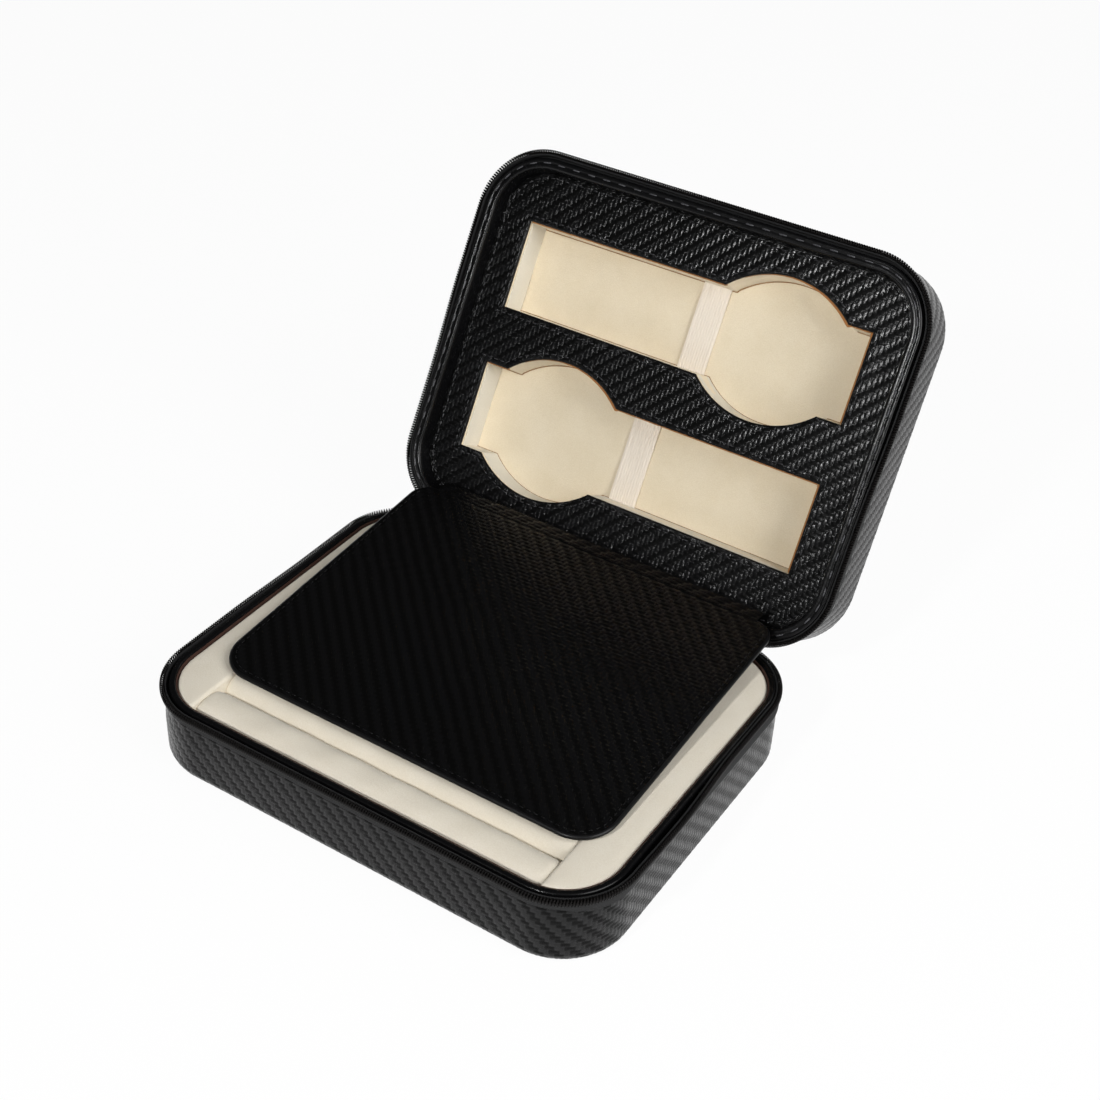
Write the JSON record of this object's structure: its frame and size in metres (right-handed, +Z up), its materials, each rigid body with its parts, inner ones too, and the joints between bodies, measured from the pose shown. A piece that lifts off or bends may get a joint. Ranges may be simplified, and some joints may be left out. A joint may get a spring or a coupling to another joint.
{
  "type": "watch box",
  "caption": "Zip-around watch box: a rounded clamshell with a twill-embossed skin, two watch-shaped wells in the lid, a stitched page and ring rolls in the base.",
  "frame": {"origin": "centre of the base's underside", "axes": "+Z up out of the base, +Y towards the spine, +X along the spine"},
  "size_m": [0.2032, 0.2676, 0.1711],
  "materials": {
    "twill_leatherette": "black leatherette embossed with a two-by-two twill, semi-gloss",
    "rim_leatherette": "smooth black leatherette, glossy",
    "zip_tape": "black woven zip tape",
    "zip_coil": "black nylon coil",
    "blackened_zinc": "black painted zinc die casting",
    "grey_board": "grey card",
    "lined_board": "card covered in black paper",
    "liner_card": "red-brown card, bare cut edge",
    "velvet": "cream flocked velvet over foam",
    "foam": "pale open-cell foam",
    "elastic": "cream woven elastic",
    "black_lining": "smooth black lining cloth"
  },
  "bodies": {
    "base": {"base_cover": "twill_leatherette", "base_bottom_board": "grey_board", "base_wall_board": "lined_board", "base_rim": "rim_leatherette", "base_zip_tape": "zip_tape", "base_zip_coil": "zip_coil", "base_liner": "liner_card", "tray_floor": "grey_board", "tray_side_left": "velvet", "tray_side_right": "velvet", "zip_stops": "blackened_zinc", "spine": "rim_leatherette", "ring_roll_1": "velvet", "ring_roll_2": "velvet", "ring_roll_3": "velvet", "ring_roll_4": "velvet", "ring_roll_5": "velvet", "ring_roll_6": "velvet", "ring_roll_7": "velvet", "ring_roll_8": "velvet"},
    "lid": {"lid_cover": "twill_leatherette", "lid_top_board": "grey_board", "lid_wall_board": "lined_board", "lid_rim": "rim_leatherette", "lid_zip_tape": "zip_tape", "lid_zip_coil": "zip_coil", "panel_cover": "twill_leatherette", "panel_board": "grey_board", "upper_well_wall": "velvet", "lower_well_wall": "velvet", "well_floor": "velvet", "well_foam": "foam", "lid_padding": "foam", "upper_elastic": "elastic", "lower_elastic": "elastic", "page_seam": "twill_leatherette"},
    "page": {"page_cover": "twill_leatherette", "page_board": "grey_board", "page_lining": "black_lining"},
    "slider": {"slider_body": "blackened_zinc", "slider_rivet": "blackened_zinc"},
    "pull": {"zip_pull": "blackened_zinc"}
  },
  "joints": [
    {"name": "lid_hinge", "type": "hinge", "parent": "base", "child": "lid", "pos_m": [0, 0.08, 0.0331], "axis": [-1, 0, 0], "range_deg": [-120, 0], "deforming": ["spine"]},
    {"name": "page_hinge", "type": "hinge", "parent": "lid", "child": "page", "pos_m": [0, 0.08746, 0.04322], "axis": [-1, 0, 0], "range_deg": [0, 124], "deforming": ["page_seam"]},
    {"name": "zip_run", "type": "hinge", "parent": "base", "child": "slider", "pos_m": [-0.073, 0.0515, 0.034], "axis": [0, 0, 1], "range_deg": [0, 60]},
    {"name": "pull_swing", "type": "hinge", "parent": "slider", "child": "pull", "pos_m": [-0.08347, 0.08026, 0.0304], "axis": [-0.342, 0.9397, 0], "range_deg": [-70, 70]}
  ],
  "couplings": [
    {"joint": "page_hinge", "follows": "lid_hinge", "ratio": -1.03}
  ]
}
